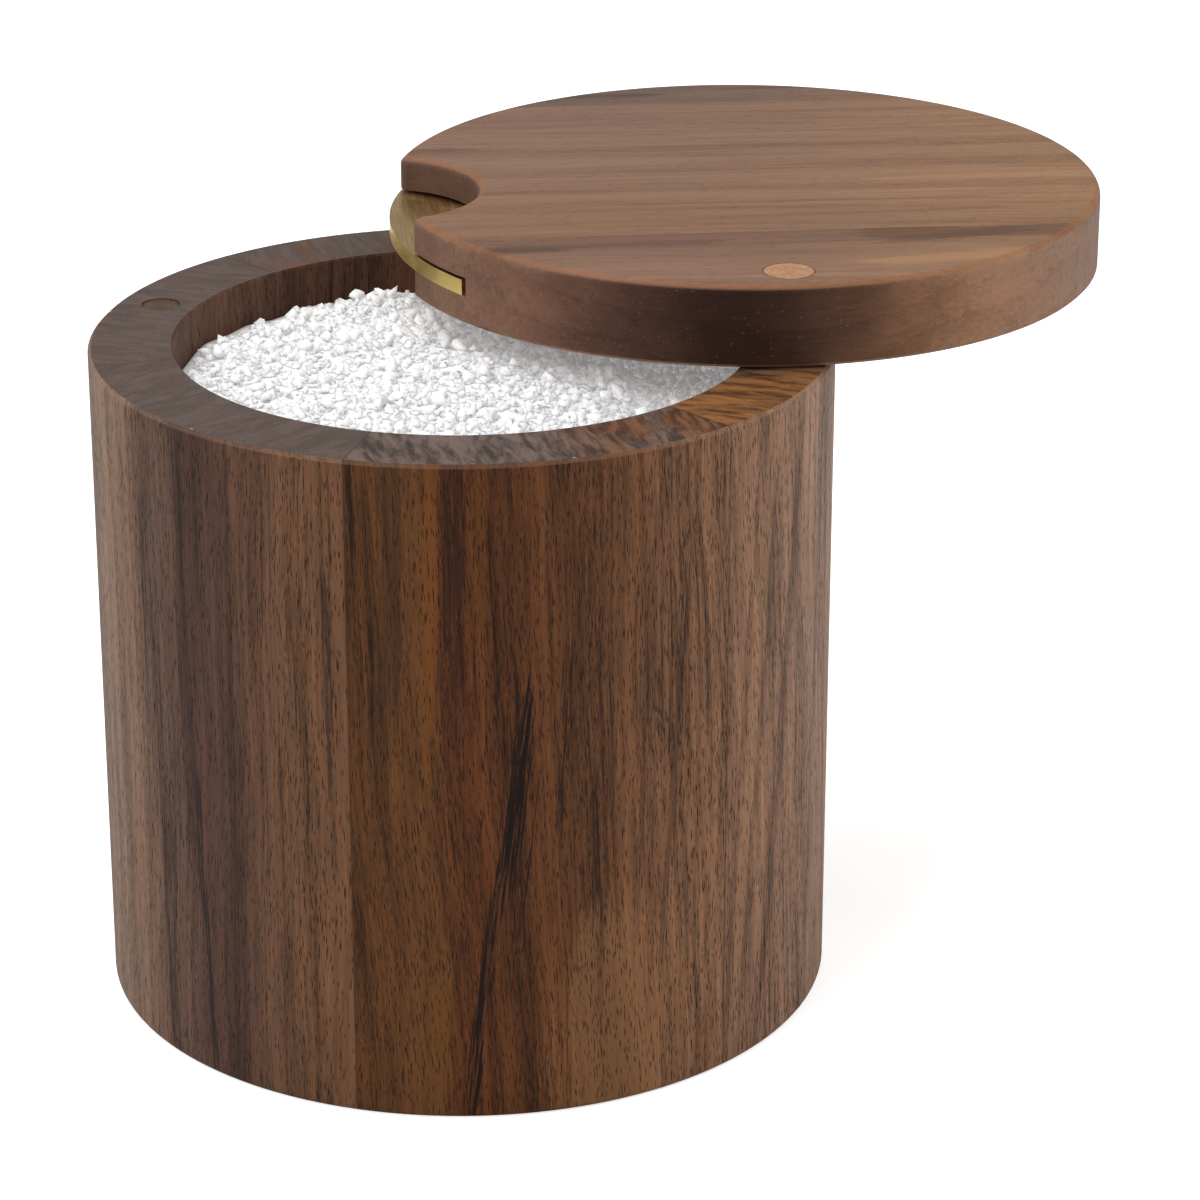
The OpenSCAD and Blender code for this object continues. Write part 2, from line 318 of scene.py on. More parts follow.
# turn: degrees round the box to the stave's middle line; across: the colours from one edge of the stave to
# the other; streaks: (colour, strength, centre, lean, half width, low, high, fade, rag), in mm
staveLooks = {
    "stave_front_left": {
        "turn": -125.5, "seed": (11.0, 5.0, 40.0), "slant": 0.012, "streak": 6.5, "pores": 0.68, "ring": 0.25,
        "across": [(0.0, paint(128, 104, 88)), (0.16, paint(128, 101, 82)), (0.28, paint(116, 87, 70)),
                   (0.42, paint(106, 80, 65)), (0.52, paint(80, 57, 47)), (0.62, paint(74, 50, 41)),
                   (0.70, paint(90, 64, 50)), (0.87, paint(120, 84, 59)), (1.0, paint(96, 66, 46))],
        "streaks": [(paint(44, 30, 27), 0.5, -6.8, -0.03, 3.4, -20, 125, 30, 1.3),
                    (paint(48, 32, 27), 0.5, 0.8, 0.0, 3.4, 10, 130, 40, 1.3),
                    (paint(30, 20, 22), 0.85, 3.0, -0.03, 2.2, -10, 60, 15, 1.4),
                    (paint(56, 40, 33), 0.32, -18.0, 0.0, 3.2, -20, 100, 40, 1.3),
                    (paint(46, 31, 26), 0.5, 10.0, 0.01, 2.2, -20, 130, 30, 1.4),
                    (paint(36, 23, 20), 0.65, 27.0, 0.0, 1.6, 40, 100, 20, 1.3)],
        "rim": 0.3, "rimTint": paint(96, 64, 42)},
    "stave_front_right": {
        "turn": -65.5, "seed": (71.0, 31.0, 7.0), "slant": -0.055, "streak": 7.5, "pores": 0.8, "ring": 0.2,
        "across": [(0.0, paint(84, 54, 31)), (0.1, paint(91, 59, 34)), (0.185, paint(91, 61, 36)),
                   (0.28, paint(88, 51, 27)), (0.37, paint(87, 51, 28)), (0.5, paint(91, 58, 36)),
                   (0.65, paint(100, 67, 46)), (0.8, paint(120, 87, 68)), (1.0, paint(133, 101, 83))],
        "streaks": [(paint(144, 108, 80), 0.45, 9.0, 0.0, 14.0, -40, 48, 34, 0.5),
                    (paint(118, 72, 30), 0.45, -19.0, 0.03, 2.6, 35, 150, 50, 0.5),
                    (paint(100, 62, 30), 0.5, -10.0, 0.0, 3.0, 40, 150, 50, 0.9),
                    (paint(44, 21, 12), 0.75, -13.9, 0.0, 3.2, 40, 160, 50, 1.1),
                    (paint(104, 72, 36), 0.5, -14.5, 0.07, 3.4, -30, 42, 22, 0.9),
                    (paint(58, 38, 24), 0.6, -24.0, 0.01, 3.4, 40, 140, 40, 1.1),
                    (paint(20, 11, 14), 1.0, -6.0, 0.12, 6.2, 14, 88, 26, 1.55),
                    (paint(18, 10, 11), 0.95, -4.6, 0.1, 2.2, 26, 78, 18, 1.2),
                    (paint(20, 11, 14), 0.95, -7.6, 0.1, 3.8, -16, 48, 22, 1.4),
                    (paint(30, 18, 16), 0.8, 1.4, 0.05, 2.0, 38, 86, 16, 1.4),
                    (paint(46, 31, 26), 0.3, 9.0, 0.05, 1.8, 0, 120, 25, 1.3),
                    (paint(44, 30, 25), 0.34, 14.0, 0.05, 2.0, 20, 115, 25, 1.3),
                    (paint(42, 29, 25), 0.5, 20.0, 0.06, 2.0, 5, 100, 25, 1.3)],
        "rim": 0.9, "rimTint": paint(98, 64, 42), "rimFrom": (-2.0, 16.0),
        "contrast": (0.2, 1.72), "warmth": (1.05, 0.94, 0.75), "rimFigure": (0.5, 1.6)},
    "stave_pivot": {
        "turn": -5.5, "seed": (23.0, 63.0, 81.0), "slant": -0.06, "streak": 7.0, "pores": 0.66, "ring": 0.3,
        "across": [(0.0, paint(129, 95, 73)), (0.1, paint(143, 106, 82)), (0.3, paint(145, 112, 91)),
                   (0.5, paint(142, 112, 93)), (0.7, paint(142, 112, 94)), (1.0, paint(144, 114, 95))],
        "streaks": [(paint(52, 36, 30), 0.5, -16.5, 0.12, 2.8, -20, 125, 30, 1.3),
                    (paint(54, 38, 32), 0.42, -22.0, 0.09, 2.4, -20, 112, 30, 1.3),
                    (paint(60, 44, 37), 0.4, -26.5, 0.07, 2.0, -20, 125, 30, 1.3),
                    (paint(80, 61, 52), 0.4, -4.0, 0.05, 4.4, -10, 125, 30, 1.2),
                    (paint(146, 112, 84), 0.4, -24.5, 0.08, 2.0, -20, 120, 30, 0.8)],
        "rim": 0.95, "rimTint": paint(114, 75, 42), "rimFigure": (0.45, 1.62)},
    "stave_magnet": {
        "turn": 174.5, "seed": (5.0, 91.0, 17.0), "slant": 0.02, "streak": 8.0, "pores": 0.5, "ring": 0.3,
        "across": [(0.0, paint(108, 82, 66)), (0.35, paint(120, 93, 75)), (0.7, paint(100, 76, 62)),
                   (1.0, paint(130, 104, 88))],
        "streaks": [(paint(50, 35, 30), 0.7, 9.0, 0.02, 2.6, -20, 125, 30, 1.0),
                    (paint(54, 38, 32), 0.65, -14.0, -0.03, 3.0, -10, 130, 40, 1.0)],
        "rim": 0.35, "rimTint": paint(92, 62, 42)},
    "stave_back_left": {
        "turn": 114.5, "seed": (47.0, 13.0, 29.0), "slant": -0.03, "streak": 9.0, "pores": 0.55, "ring": 0.3,
        "across": [(0.0, paint(98, 70, 52)), (0.4, paint(112, 82, 61)), (0.65, paint(82, 56, 42)),
                   (1.0, paint(104, 78, 60))],
        "streaks": [(paint(32, 20, 18), 0.85, 4.0, 0.06, 3.2, 0, 140, 40, 1.0),
                    (paint(122, 82, 48), 0.5, -12.0, 0.03, 3.0, -20, 90, 40, 0.7)],
        "rim": 0.5, "rimTint": paint(104, 68, 44)},
    "stave_back_right": {
        "turn": 54.5, "seed": (83.0, 57.0, 53.0), "slant": 0.04, "streak": 8.0, "pores": 0.55, "ring": 0.25,
        "across": [(0.0, paint(112, 86, 68)), (0.3, paint(90, 63, 46)), (0.6, paint(112, 79, 54)),
                   (1.0, paint(96, 69, 52))],
        "streaks": [(paint(44, 27, 22), 0.8, -8.0, -0.05, 3.0, -20, 120, 40, 1.0),
                    (paint(40, 26, 22), 0.7, 15.0, -0.03, 2.0, 10, 130, 30, 1.0)],
        "rim": 0.5, "rimTint": paint(108, 70, 42)},
}


# sets colour, a roughness that the fibres and pores break up, and a low bump of fibre and open pores
def finishWood(tree, shader, colour, grain, roughShift=0.0):
    rough = weighed(tree, [(grain["Fibre"], 0.16), (grain["Pores"], 0.25)],
                    woodFinish["roughness"] + roughShift)
    height = weighed(tree, [(grain["Fibre"], 0.3), (grain["Pores"], -1.0)])
    bump = put(tree, "Bump", {"Height": height, "Strength": 0.35, "Distance": 0.00008})
    tree.links.new(colour, shader.inputs["Base Color"])
    tree.links.new(rough, shader.inputs["Roughness"])
    tree.links.new(bump.outputs[0], shader.inputs["Normal"])
    shader.inputs["Specular IOR Level"].default_value = woodFinish["shine"]


# multiplies a colour by the wood's tone, so that streaks darken and lighten it about its own value
def shadeByTone(tree, colour, tone, low, high):
    amount = put(tree, "MapRange", {"Value": tone, "From Min": 0.1, "From Max": 0.9, "To Min": low,
                                    "To Max": high}).outputs[0]
    colour = colour if isinstance(colour, bpy.types.NodeSocket) else colour[:3]
    return put(tree, "VectorMath", {0: colour, "Scale": amount}, operation="SCALE").outputs[0]


def layStreaks(tree, colour, streaks, across, along):
    for tint, strength, centre, lean, half, low, high, fade, rag in streaks:
        mask = useGroup(tree, streakGroup, {
            "Across": across, "Along": along, "Centre": centre, "Lean": lean, "Half Width": half,
            "Low": low, "High": high, "Fade": fade, "Rag": rag})["Mask"]
        colour = layOver(tree, colour, tint, mask, strength)
    return colour


def layDust(tree, colour, tint, point, spacing, size, share, strength):
    specks = useGroup(tree, dustGroup, {"Point": point, "Spacing": spacing, "Size": size, "Share": share})
    return layOver(tree, colour, tint, specks["Mask"], strength)


# the cut end of a stave: grey and tinted patches from a cloudy noise, a finer figure over them, and dust
def colourCutEnd(tree, look, point, grainPoint, grain, sides):
    patchStart = 0.72 - 0.45 * look["rim"]
    patches = rise(tree, noise(tree, grainPoint, 0.11, 4.0, 0.6, 0.8), patchStart, patchStart + 0.23)
    patches = maths(tree, "MULTIPLY", patches, rise(tree, sides["Around"], *look["rimFrom"]))
    colour = blendColour(tree, patches, woodFinish["rimGrey"], look["rimTint"])
    figure = noise(tree, times(tree, grainPoint, (0.25, 1.0, 1.0)), 0.5, 4.0, 0.65, 0.6)
    figure = rise(tree, figure, 0.36, 0.64, 0.1, 0.9)
    colour = shadeByTone(tree, colour, figure, *look["rimFigure"])
    colour = layOver(tree, colour, woodFinish["poreColour"], grain["Pores"], 0.35)
    return layDust(tree, colour, woodFinish["dustColour"], point, 4.0, 0.11, 0.16, 0.6)


def makeStaveWood(name, look):
    look = {**plainStave, **look}
    material, tree, shader = newMaterial(name + "_wood")
    point = millimetres(tree, {"Rotation": (0.0, 0.0, -math.radians(look["turn"]))})
    grainPoint = put(tree, "Mapping", {"Vector": point, "Location": look["seed"],
                                       "Rotation": (look["slant"], 0.0, 0.0)}).outputs[0]
    grain = useGroup(tree, grainGroup, {
        "Point": grainPoint, "Wander": 1.4, "Streak": look["streak"], "Ring": 3.4,
        "Ring Strength": look["ring"], "Pore Amount": look["pores"], "Pore Length": 5.0})
    sides = useGroup(tree, sidesGroup, {"Point": point})
    wobble = noise(tree, times(tree, grainPoint, (1.0, 1.0, 0.12)), 0.07, 2.0)
    across = weighed(tree, [(sides["Around"], 1.0 / staveArc), (wobble, look["waver"])],
                     0.5 - look["waver"] / 2)
    colour = colourRamp(tree, across, look["across"])
    colour = shadeByTone(tree, colour, grain["Tone"], *look["contrast"])
    colour = layStreaks(tree, colour, look["streaks"], sides["Around"], sides["Up"])
    colour = times(tree, colour, look["warmth"])
    # one tint towards the inside face
    inner = shadeByTone(tree, look["innerTint"], grain["Tone"], 0.2, 1.9)
    colour = layOver(tree, colour, inner, rise(tree, sides["Depth"], 9.0, 12.5), 0.8)
    colour = layOver(tree, colour, woodFinish["poreColour"], grain["Pores"], 0.85)
    # cut ends: rim above, foot below
    end = rise(tree, maths(tree, "ABSOLUTE", lookingUp(tree)), 0.75, 0.9)
    colour = blendColour(tree, end, colour, colourCutEnd(tree, look, point, grainPoint, grain, sides))
    # the eased outer edge of the rim gets a pale painted highlight
    chamferHighlight = maths(tree, "MULTIPLY", rise(tree, sides["Up"], rimHeight - 0.7, rimHeight - 0.4),
                 rise(tree, sides["Depth"], 0.45, 0.6, 1.0, 0.0))
    colour = layOver(tree, colour, woodFinish["chamferHighlightColour"], chamferHighlight, 0.18)
    # glue line at both edges of the stave
    seam = rise(tree, maths(tree, "ABSOLUTE", sides["Around"]), staveArc / 2 - 0.24, staveArc / 2 - 0.05)
    colour = layOver(tree, colour, woodFinish["glueColour"], seam, 0.55)
    finishWood(tree, shader, colour, grain)
    return material


for name, look in staveLooks.items():
    nodes[name].material_slots[0].material = makeStaveWood(name, look)
print("staves finished")


# span: where the board's colours start and end across the closed lid, in mm; streaks: as on the staves, with
# the height counted along the board
lidLooks = {
    "lid_board_middle": {
        "seed": (3.0, 44.0, 9.0), "streak": 7.0, "pores": 0.3, "ring": 0.3, "ringStep": 5.0,
        "across": [(0.0, paint(126, 97, 81)), (0.3, paint(133, 104, 86)), (0.55, paint(129, 99, 81)),
                   (0.8, paint(134, 103, 82)), (1.0, paint(131, 99, 78))],
        "contrast": (0.68, 1.28), "span": (-45.0, 30.0),
        "streaks": [(paint(88, 65, 55), 0.5, -19.0, 0.02, 1.2, -25, 15, 10, 0.8),
                    (paint(98, 74, 62), 0.35, -12.0, 0.0, 1.6, 35, 78, 14, 0.8),
                    (paint(96, 72, 60), 0.35, 14.0, 0.02, 1.0, 0, 100, 20, 0.9),
                    (paint(100, 74, 62), 0.35, 22.0, -0.02, 1.4, 30, 100, 20, 0.8),
                    (paint(162, 126, 96), 0.5, 4.0, 0.0, 3.0, 55, 130, 30, 0.6)]},
    "lid_board_pivot": {
        "seed": (57.0, 21.0, 35.0), "streak": 9.0, "pores": 0.35, "ring": 0.5, "ringStep": 6.0,
        "across": [(0.0, paint(116, 87, 71)), (0.3, paint(124, 95, 77)), (0.6, paint(130, 99, 80)),
                   (1.0, paint(137, 104, 84))],
        "contrast": (0.68, 1.28), "span": (28.0, 58.0),
        "streaks": [(paint(70, 51, 46), 0.5, 38.6, 0.06, 2.4, -12, 24, 8, 0.9),
                    (paint(80, 59, 51), 0.45, 34.5, -0.02, 2.6, 0, 52, 12, 1.1),
                    (paint(72, 50, 41), 0.45, 31.0, 0.03, 7.0, 58, 112, 16, 0.7),
                    (paint(78, 55, 45), 0.4, 41.0, -0.2, 3.0, 62, 100, 12, 0.8),
                    (paint(172, 130, 88), 0.4, 48.0, -0.12, 5.0, 56, 100, 16, 0.6)]},
    "lid_board_far": {
        "seed": (19.0, 77.0, 61.0), "streak": 8.0, "pores": 0.3, "ring": 0.3, "ringStep": 5.0,
        "across": [(0.0, paint(104, 86, 78)), (0.5, paint(108, 89, 80)), (1.0, paint(113, 92, 81))],
        "contrast": (0.7, 1.26), "span": (-58.0, -45.0),
        "streaks": [(paint(78, 62, 54), 0.7, -50.0, 0.03, 2.0, 20, 50, 10, 0.7),
                    (paint(84, 66, 58), 0.6, -53.0, -0.02, 1.8, 50, 86, 10, 0.7)]},
}

lidFinish = {
    "warmColour": paint(156, 118, 84),  # away from the notch
    "poreColour": paint(70, 50, 42),
    "filledPores": paint(160, 126, 100),  # pale, in the turned edge
    "edgeContrast": (0.68, 1.24),
    "rollWearAndHighlight": paint(150, 94, 58),  # the line where the edge rolls over: wear, and a painted highlight
    "waver": 0.5,  # how far the colours wander across a board, as a share of its span
    "edgeWaver": 0.035,  # and along the turned edge, as a share of a turn
}

# colours round the lid's turned edge, from the far side by way of the notch (0.25) and the screw (0.5): the
# wood's colour with painted shade, darkest just before the screw, and painted highlights in the pale bands at
# 0.345 and 0.585
edgeColourShadeAndHighlight = [(0.0, paint(104, 77, 62)), (0.25, paint(94, 70, 57)), (0.30, paint(96, 71, 57)),
            (0.345, paint(140, 105, 85)), (0.40, paint(100, 69, 54)), (0.455, paint(46, 26, 19)),
            (0.50, paint(46, 26, 19)), (0.545, paint(108, 74, 52)), (0.585, paint(160, 118, 89)),
            (0.64, paint(140, 108, 88)), (0.70, paint(132, 103, 86)), (1.0, paint(104, 77, 62))]


# a board of the lid: colours from edge to edge, streaks along it, and a turned edge whose colours go by the
# direction from the lid's middle
def makeLidWood(name, look):
    material, tree, shader = newMaterial(name + "_wood")
    # the boards are read in the lid's closed place, where the grain runs along Y
    shift = pivot - Matrix.Rotation(lidOpen, 3, "Z") @ pivot
    point = millimetres(tree, {"Rotation": (0.0, 0.0, lidOpen), "Location": tuple(shift)})
    parts = put(tree, "SeparateXYZ", {0: point}).outputs
    grainPoint = put(tree, "CombineXYZ", {"X": parts[2], "Y": parts[0], "Z": parts[1]}).outputs[0]
    grainPoint = put(tree, "Mapping", {"Vector": grainPoint, "Location": look["seed"],
                                       "Rotation": (0.03, 0.0, 0.0)}).outputs[0]
    grain = useGroup(tree, grainGroup, {
        "Point": grainPoint, "Wander": 1.6, "Streak": look["streak"], "Ring": look["ringStep"],
        "Ring Strength": look["ring"], "Pore Amount": look["pores"], "Pore Length": 3.6})
    wobble = noise(tree, times(tree, grainPoint, (1.0, 1.0, 0.3)), 0.06, 2.0)
    across = weighed(tree, [(rise(tree, parts[0], *look["span"]), 1.0), (wobble, lidFinish["waver"])],
                     -lidFinish["waver"] / 2)
    colour = colourRamp(tree, across, look["across"])
    warm = rise(tree, weighed(tree, [(wobble, 30.0)], parts[1]), 0.0, 70.0)
    colour = layOver(tree, colour, lidFinish["warmColour"], warm, 0.45)
    colour = shadeByTone(tree, colour, grain["Tone"], *look["contrast"])
    along = maths(tree, "ADD", parts[1], streakMiddle)
    colour = layStreaks(tree, colour, look["streaks"], parts[0], along)
    colour = layOver(tree, colour, lidFinish["poreColour"], grain["Pores"], 0.3)
    # the turned edge: darker cut wood with painted shade and painted highlights by its direction, pale filled
    # pores, and a warm line where it rolls over that is partly wear and partly a painted highlight
    facing = lookingUp(tree)
    edge = rise(tree, maths(tree, "ABSOLUTE", facing), 0.35, 0.75, 1.0, 0.0)
    mottle = noise(tree, point, 0.12, 4.0, 0.6)
    bearing = maths(tree, "ARCTAN2", parts[1], parts[0])
    bearing = weighed(tree, [(bearing, 0.5 / math.pi), (mottle, lidFinish["edgeWaver"])],
                      0.5 - lidFinish["edgeWaver"] / 2)
    edgeColour = shadeByTone(tree, colourRamp(tree, bearing, edgeColourShadeAndHighlight), grain["Tone"],
                             *lidFinish["edgeContrast"])
    edgeColour = layDust(tree, edgeColour, lidFinish["filledPores"], point, 0.7, 0.24, 0.4, 0.2)
    colour = blendColour(tree, edge, colour, edgeColour)
    # the warm line where the edge rolls over: wear, and a painted highlight
    roll = maths(tree, "MULTIPLY", rise(tree, facing, 0.45, 0.75), rise(tree, facing, 0.9, 0.995, 1.0, 0.0))
    colour = layOver(tree, colour, lidFinish["rollWearAndHighlight"], roll, 0.42)
    colour = layDust(tree, colour, woodFinish["dustColour"], point, 12.0, 0.03, 0.4, 0.5)
    finishWood(tree, shader, colour, grain, 0.03)
    return material


for name, look in lidLooks.items():
    nodes[name].material_slots[0].material = makeLidWood(name, look)
print("lid boards finished")


plugLooks = {
    "screw_plug": {"light": paint(188, 149, 114), "dark": paint(166, 122, 90), "radius": 4.0},
    "rim_magnet_plug": {"light": paint(104, 84, 66), "dark": paint(76, 58, 46), "radius": 3.0},
    "lid_magnet_plug": {"light": paint(112, 86, 66), "dark": paint(80, 58, 44), "radius": 3.0},
}
plugGapShadow = paint(48, 30, 22)  # painted shadow in the gap round a plug


# cut-end wood: the grain seen end on, and a painted shadow in the gap round its edge, set by the distance
# from the plug's middle
def makePlug(name, look):
    material, tree, shader = newMaterial(name + "_wood")
    centre = nodeCentre(name)
    point = millimetres(tree, {"Location": (-centre[0], -centre[1], 0.0)})
    grain = useGroup(tree, grainGroup, {
        "Point": point, "Wander": 0.8, "Streak": 2.5, "Ring": 1.4, "Ring Strength": 0.3,
        "Pore Amount": 0.35, "Pore Length": 3.0})
    flat = times(tree, point, (1.0, 1.0, 0.0))
    reach = put(tree, "VectorMath", {0: flat}, operation="LENGTH").outputs["Value"]
    colour = blendColour(tree, rise(tree, grain["Tone"], 0.2, 0.9), look["dark"], look["light"])
    colour = layOver(tree, colour, woodFinish["poreColour"], grain["Pores"], 0.3)
    # painted shadow in the gap round the plug
    gapShadow = rise(tree, reach, look["radius"] - 0.35, look["radius"] - 0.05)
    colour = layOver(tree, colour, plugGapShadow, gapShadow, 0.7)
    finishWood(tree, shader, colour, grain, 0.05)
    return material


for name, look in plugLooks.items():
    nodes[name].material_slots[0].material = makePlug(name, look)

baseLook = {"light": paint(132, 102, 78), "dark": paint(80, 56, 42)}


# a flat board with its grain along X
def makeBaseWood():
    material, tree, shader = newMaterial("base_disc_wood")
    point = millimetres(tree, {"Rotation": (0.0, math.radians(90), 0.0)})
    grain = useGroup(tree, grainGroup, {
        "Point": point, "Wander": 2.0, "Streak": 8.0, "Ring": 4.0, "Ring Strength": 0.4,
        "Pore Amount": 0.4, "Pore Length": 5.0})
    colour = blendColour(tree, rise(tree, grain["Tone"], 0.1, 0.95), baseLook["dark"], baseLook["light"])
    colour = layOver(tree, colour, woodFinish["poreColour"], grain["Pores"], 0.5)
    finishWood(tree, shader, colour, grain, 0.1)
    return material


nodes["base_disc"].material_slots[0].material = makeBaseWood()

magnetLook = {"light": paint(176, 178, 182), "dark": paint(128, 130, 136), "roughness": 0.24, "along": 0}
metalLooks = {
    # the finger plate's edge colour is a painted highlight on its upright cut edge
    "finger_plate": {"light": paint(214, 182, 126), "dark": paint(180, 148, 98), "roughness": 0.36,
                     "along": 0, "edge": paint(255, 226, 142)},
    "swivel_screw": {"light": paint(190, 190, 192), "dark": paint(140, 141, 144), "roughness": 0.3,
                     "along": 2},
    "head_washer": {"light": paint(196, 197, 200), "dark": paint(150, 151, 155), "roughness": 0.32,
                    "along": 0},
    "rim_magnet": magnetLook,
    "lid_magnet": magnetLook,
}


# brushed metal: noise drawn out along one direction sets tone, roughness and a low bump, and a slow cloudy
# noise stands for handling marks
def makeMetal(name, look):
    material, tree, shader = newMaterial(name + "_metal")
    scale = [1000.0, 1000.0, 1000.0]
    scale[look["along"]] = 30.0  # the brushing runs this way
    spot = put(tree, "TexCoord").outputs["Object"]
    turned = put(tree, "Mapping", {"Vector": spot, "Rotation": (0.0, 0.0, lidOpen)}).outputs[0]
    point = put(tree, "Mapping", {"Vector": turned, "Scale": tuple(scale)}).outputs[0]
    brush = noise(tree, point, 3.2, 3.0, 0.7)
    marks = noise(tree, spot, 160.0, 3.0)
    colour = blendColour(tree, rise(tree, brush, 0.25, 0.75), look["dark"], look["light"])
    if "edge" in look:  # a painted highlight: the upright cut edge gets a brighter, yellower colour than the brushed faces
        side = rise(tree, maths(tree, "ABSOLUTE", lookingUp(tree)), 0.3, 0.7, 1.0, 0.0)
        colour = layOver(tree, colour, look["edge"], side, 0.85)
    rough = weighed(tree, [(brush, 0.16), (rise(tree, marks, 0.45, 0.7), 0.08)], look["roughness"] - 0.1)
    bump = put(tree, "Bump", {"Height": brush, "Strength": 0.25, "Distance": 0.00003})
    shader.inputs["Metallic"].default_value = 1.0
    tree.links.new(colour, shader.inputs["Base Color"])
    tree.links.new(rough, shader.inputs["Roughness"])
    tree.links.new(bump.outputs[0], shader.inputs["Normal"])
    return material


for name, look in metalLooks.items():
    nodes[name].material_slots[0].material = makeMetal(name, look)

spacerLook = {"colour": paint(222, 218, 206), "shade": paint(196, 190, 176), "roughness": 0.5}


# plain nylon: a cloudy noise shades it and varies its roughness
def makeSpacerNylon():
    material, tree, shader = newMaterial("spacer_nylon")
    cloud = noise(tree, put(tree, "TexCoord").outputs["Object"], 900.0, 4.0)
    colour = blendColour(tree, rise(tree, cloud, 0.3, 0.7), spacerLook["shade"], spacerLook["colour"])
    tree.links.new(colour, shader.inputs["Base Color"])
    rough = weighed(tree, [(cloud, 0.2)], spacerLook["roughness"] - 0.1)
    tree.links.new(rough, shader.inputs["Roughness"])
    return material


nodes["spacer_washer"].material_slots[0].material = makeSpacerNylon()
print("plugs, base and metal finished")


saltLook = {
    "wellRadius": 44.2,  # mm
    "level": 99.8,  # mm, height of the middle of the heap
    "crown": 2.0,  # mm, how far it falls to the wall
    "swell": 0.6,  # mm
    "floor": 8.0,  # mm, top of the base disc
    "crystals": 5200,
    "shapes": 14,
    "corners": 11,
    "halfSize": (0.9, 1.8),  # mm
    "sunk": (0.25, 0.8),  # share of its half size that a grain's middle lies under the heap's top
    "standing": 0.05,  # share of grains that stand on the others
    "bodyDrop": 0.35,  # mm, from the heap's top to the body under the grains
    "rings": 40, "spokes": 96,  # of that body
    "seed": 7,
    "white": paint(254, 254, 255), "shade": paint(248, 249, 251),
    "scatter": 0.0012,  # m, how far light runs inside
    "glow": 0.16,  # the light that many bounces between white grains bring back
    "upwards": 1.4,  # how strongly a facet's shading follows the heap rather than the facet
}


# height of the heap in mm: flat in the middle, falling to the wall as the solid does, with a swell of three
# sine waves on it
def heapHeight(x, y):
    reach = np.hypot(x, y) / saltLook["wellRadius"]
    swell = np.sin(0.11 * x + 0.6) * np.cos(0.09 * y) + 0.55 * np.sin(0.23 * x - 0.19 * y + 1.3)
    swell += 0.4 * np.sin(0.41 * y + 0.33 * x)
    fall = np.clip((reach - 0.45) / 0.55, 0, 1)
    return saltLook["level"] - saltLook["crown"] * fall + swell * saltLook["swell"]


# convex lumps with flat faces: a few points on a squashed ball, closed by their hull
def makeCrystalShapes(random):
    shapes = []
    for _ in range(saltLook["shapes"]):
        spread = random.normal(size=(saltLook["corners"], 3))
        spread /= np.linalg.norm(spread, axis=1)[:, None]
        spread *= random.uniform(0.86, 1.0, size=(saltLook["corners"], 1)) * np.array([1.0, 0.84, 0.7])
        solid = bmesh.new()
        for spot in spread:
            solid.verts.new(spot)
        hull = bmesh.ops.convex_hull(solid, input=solid.verts)
        loose = [g for g in hull["geom_interior"] if isinstance(g, bmesh.types.BMVert)]
        bmesh.ops.delete(solid, geom=loose, context="VERTS")
        bmesh.ops.recalc_face_normals(solid, faces=solid.faces)
        solid.verts.index_update()
        corners = np.array([v.co[:] for v in solid.verts])
        faces = np.array([[v.index for v in f.verts] for f in solid.faces])
        solid.free()
        shapes.append((corners, faces))
    return shapes


# random turns from unit quaternions, as one array of 3 by 3 matrices
def turnMatrices(random, count):
    q = random.normal(size=(count, 4))
    w, x, y, z = (q / np.linalg.norm(q, axis=1)[:, None]).T
    rows = [1 - 2 * (y * y + z * z), 2 * (x * y - z * w), 2 * (x * z + y * w),
            2 * (x * y + z * w), 1 - 2 * (x * x + z * z), 2 * (y * z - x * w),
            2 * (x * z - y * w), 2 * (y * z + x * w), 1 - 2 * (x * x + y * y)]
    return np.stack(rows, axis=1).reshape(count, 3, 3)


# copies of one crystal shape: each sized, turned, put at an even random place in the well and sunk to its
# depth; the corners come back in mm, with the faces numbered from start
def scatterShape(random, corners, faces, start):
    count = saltLook["crystals"] // saltLook["shapes"]
    size = random.uniform(*saltLook["halfSize"], count)
    angle = random.uniform(0, 2 * np.pi, count)
    reach = np.sqrt(random.uniform(0, 1, count)) * (saltLook["wellRadius"] - size)
    x, y = reach * np.cos(angle), reach * np.sin(angle)
    sunk = random.uniform(*saltLook["sunk"], count)
    proud = random.uniform(0, 1, count) < saltLook["standing"]
    z = heapHeight(x, y) - size * np.where(proud, -0.35, sunk)
    moved = np.einsum("nij,vj->nvi", turnMatrices(random, count), corners) * size[:, None, None]
    moved += np.stack([x, y, z], axis=1)[:, None, :]
    index = faces[None] + (np.arange(count) * len(corners))[:, None, None] + start
    return moved.reshape(-1, 3), index.reshape(-1, 3)


# the body of the heap under the crystals: a polar grid over the top, down the wall and over the bottom
def makeHeapBody(start):
    rings, spokes = saltLook["rings"], saltLook["spokes"]
    reach = np.concatenate([np.linspace(0, saltLook["wellRadius"], rings), [saltLook["wellRadius"], 0.0]])
    r, a = np.meshgrid(reach, np.linspace(0, 2 * np.pi, spokes, endpoint=False), indexing="ij")
    x, y = r * np.cos(a), r * np.sin(a)
    z = heapHeight(x, y) - saltLook["bodyDrop"]
    z[rings:] = saltLook["floor"]
    i, j = np.meshgrid(np.arange(rings + 1), np.arange(spokes), indexing="ij")
    k = (j + 1) % spokes
    quads = np.stack([i * spokes + j, (i + 1) * spokes + j, (i + 1) * spokes + k, i * spokes + k], axis=-1)
    return np.stack([x, y, z], axis=-1).reshape(-1, 3), quads.reshape(-1, 4) + start


